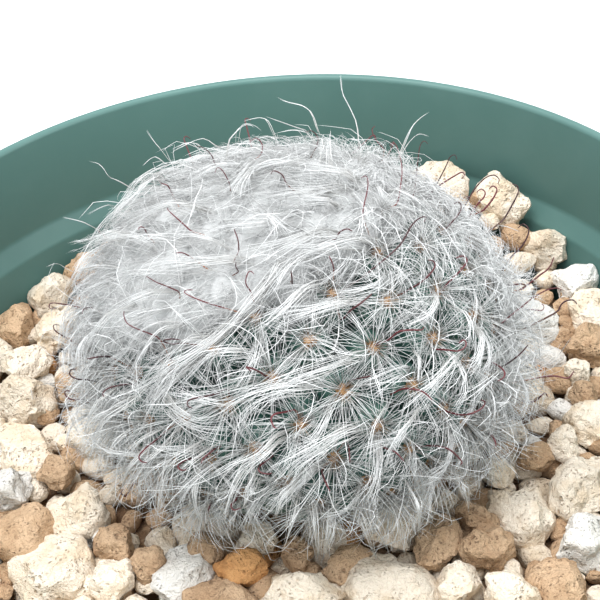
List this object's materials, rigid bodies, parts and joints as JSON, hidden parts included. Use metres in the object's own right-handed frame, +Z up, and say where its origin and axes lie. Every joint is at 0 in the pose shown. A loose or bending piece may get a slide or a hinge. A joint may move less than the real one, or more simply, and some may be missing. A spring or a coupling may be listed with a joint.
{
  "type": "potted powder puff cactus",
  "caption": "Globe-shaped cactus under a puff of white hair spines with hooked central spines, standing in pumice gravel in a round plastic plant pot.",
  "frame": {"origin": "centre of the pot's foot, on the surface that the pot stands on", "axes": "+Z up along the pot's axis; -Y is the side that the picture looks at"},
  "size_m": [0.105, 0.105, 0.1082],
  "materials": {
    "pot": "satin dark teal-green moulded polypropylene",
    "soil": "dark brown, granular and dull",
    "gravel": "dull porous pumice and akadama, cream, white, tan and a few orange",
    "stem": "dark green waxy skin",
    "spines": "silky white hair with amber roots; hooked centrals dark red-brown",
    "hooked_spines": "glossy dark red-brown, paler and amber at the root",
    "areoles": "amber wool pads",
    "cream_stone": "dull porous cream pumice",
    "white_stone": "dull porous white pumice",
    "tan_stone": "dull tan akadama",
    "orange_stone": "dull orange akadama"
  },
  "bodies": {
    "root": {"pot": "pot", "soil": "soil", "gravel": "gravel", "stem": "stem", "spines": "spines"}
  },
  "joints": []
}
